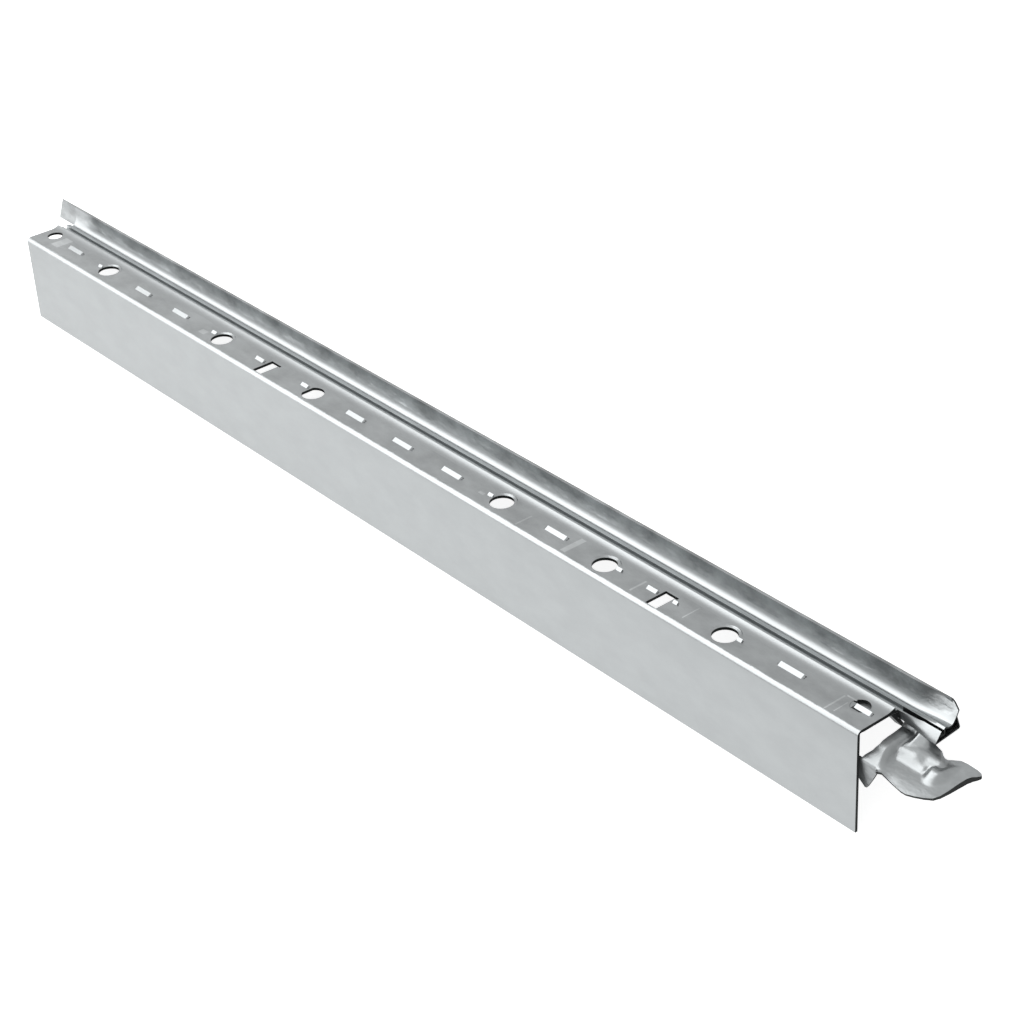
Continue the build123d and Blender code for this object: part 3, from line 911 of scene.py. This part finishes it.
def place_camera():
    """Camera off the tee's right-hand end, looking down along it"""
    turn, dip, roll = (math.radians(v) for v in (CAMERA_TURN, CAMERA_DIP, CAMERA_ROLL))
    ahead = Vector((math.cos(dip) * math.cos(turn), math.cos(dip) * math.sin(turn), math.sin(dip)))
    level = ahead.cross(Vector((0, 0, 1))).normalized()
    above = level.cross(ahead)
    right = level * math.cos(roll) + above * math.sin(roll)
    up = right.cross(ahead)
    right, up, back = (lying_direction(*v) for v in (right, up, -ahead))
    camera = bpy.data.objects.new("camera", bpy.data.cameras.new("camera"))
    bpy.context.scene.collection.objects.link(camera)
    camera.data.lens, camera.data.sensor_width, camera.data.clip_end = LENS, SENSOR, 20
    camera.matrix_world = Matrix((right, up, back)).transposed().to_4x4()
    camera.location = lying(*CAMERA_PLACE)
    bpy.context.scene.camera = camera


def soft_light(name, direction, distance, size, power):
    """A softbox that faces the middle of the tee"""
    data = bpy.data.lights.new(name, "AREA")
    data.shape, data.size, data.size_y, data.energy = "RECTANGLE", size[0], size[1], power
    light = bpy.data.objects.new(name, data)
    bpy.context.scene.collection.objects.link(light)
    aim = Vector(direction).normalized()
    light.location = aim * distance
    light.rotation_euler = aim.to_track_quat("Z", "Y").to_euler()


def larger(tree, first, second):
    return add_node(tree, "ShaderNodeMath", [(0, first), (1, second)], operation="MAXIMUM").outputs[0]


def dimmed(tree, source, level):
    """The source times a level"""
    node = add_node(tree, "ShaderNodeMath", [(0, source)], operation="MULTIPLY")
    node.inputs[1].default_value = level
    return node.outputs[0]


def white_floor(colour):
    """Matt white floor that takes the shadow and shows as pale ground to the camera and in the zinc"""
    material = bpy.data.materials.new("matt white floor")
    material.use_nodes = True
    tree = material.node_tree
    shader = tree.nodes["Principled BSDF"]
    shader.inputs["Base Color"].default_value = linear(colour)
    shader.inputs["Roughness"].default_value = 1.0
    shader.inputs["Emission Color"].default_value = (1, 1, 1, 1)
    path = add_node(tree, "ShaderNodeLightPath").outputs
    mirrored = dimmed(tree, larger(tree, path["Is Glossy Ray"], path["Is Transmission Ray"]), FLOOR_MIRRORED)
    seen = dimmed(tree, path["Is Camera Ray"], FLOOR_SEEN)
    tree.links.new(larger(tree, mirrored, seen), shader.inputs["Emission Strength"])
    return material


def white_world():
    """White all round to the camera and in the zinc, faint for the rays that light the tee"""
    world = bpy.data.worlds.new("studio")
    world.use_nodes = True
    tree = world.node_tree
    path = add_node(tree, "ShaderNodeLightPath").outputs
    mirrored = larger(tree, path["Is Glossy Ray"], path["Is Transmission Ray"])
    seen = larger(tree, path["Is Camera Ray"], mirrored)
    level = add_node(tree, "ShaderNodeMapRange", [("Value", seen)])
    level.inputs["To Min"].default_value = WORLD_LIGHT
    level.inputs["To Max"].default_value = 1.0
    tree.links.new(level.outputs[0], tree.nodes["Background"].inputs["Strength"])
    tree.nodes["Background"].inputs["Color"].default_value = (1, 1, 1, 1)
    return world


class TEE_OT_studio(bpy.types.Operator):
    """Pale floor, soft lamps and the camera"""

    bl_idname = "tee.studio"
    bl_label = "Set up the studio"

    def execute(self, context):
        scene = context.scene
        scene.view_settings.view_transform = "Standard"
        corners = [(i * FLOOR_HALF, j * FLOOR_HALF, 0) for i, j in ((-1, -1), (1, -1), (1, 1), (-1, 1))]
        new_mesh_object("floor", corners, [(0, 1, 2, 3)], white_floor(scene.tee_finish.floor))
        scene.world = white_world()
        for softbox in SOFTBOXES:
            soft_light(*softbox)
        place_camera()
        return {"FINISHED"}


# Add-on


class TEE_PT_panel(bpy.types.Panel):
    """Lists the steps in the 3D view's sidebar"""

    bl_idname = "TEE_PT_panel"
    bl_label = "Ceiling Grid Tee"
    bl_space_type = "VIEW_3D"
    bl_region_type = "UI"
    bl_category = "Grid Tee"

    def draw(self, context):
        for step in STEPS:
            self.layout.operator(step.bl_idname)


STEPS = (TEE_OT_strip, TEE_OT_stitches, TEE_OT_clip, TEE_OT_studio)
CLASSES = (TeeProfileSizes, TeeFinish, *STEPS, TEE_PT_panel)


def register():
    for cls in CLASSES:
        bpy.utils.register_class(cls)
    bpy.types.Scene.tee_profile_sizes = bpy.props.PointerProperty(type=TeeProfileSizes)
    bpy.types.Scene.tee_finish = bpy.props.PointerProperty(type=TeeFinish)


def unregister():
    del bpy.types.Scene.tee_profile_sizes
    del bpy.types.Scene.tee_finish
    for cls in reversed(CLASSES):
        bpy.utils.unregister_class(cls)


def main():
    register()
    bpy.ops.tee.strip()
    bpy.ops.tee.stitches()
    bpy.ops.tee.clip()
    bpy.ops.tee.studio()


if __name__ == "__main__":
    main()
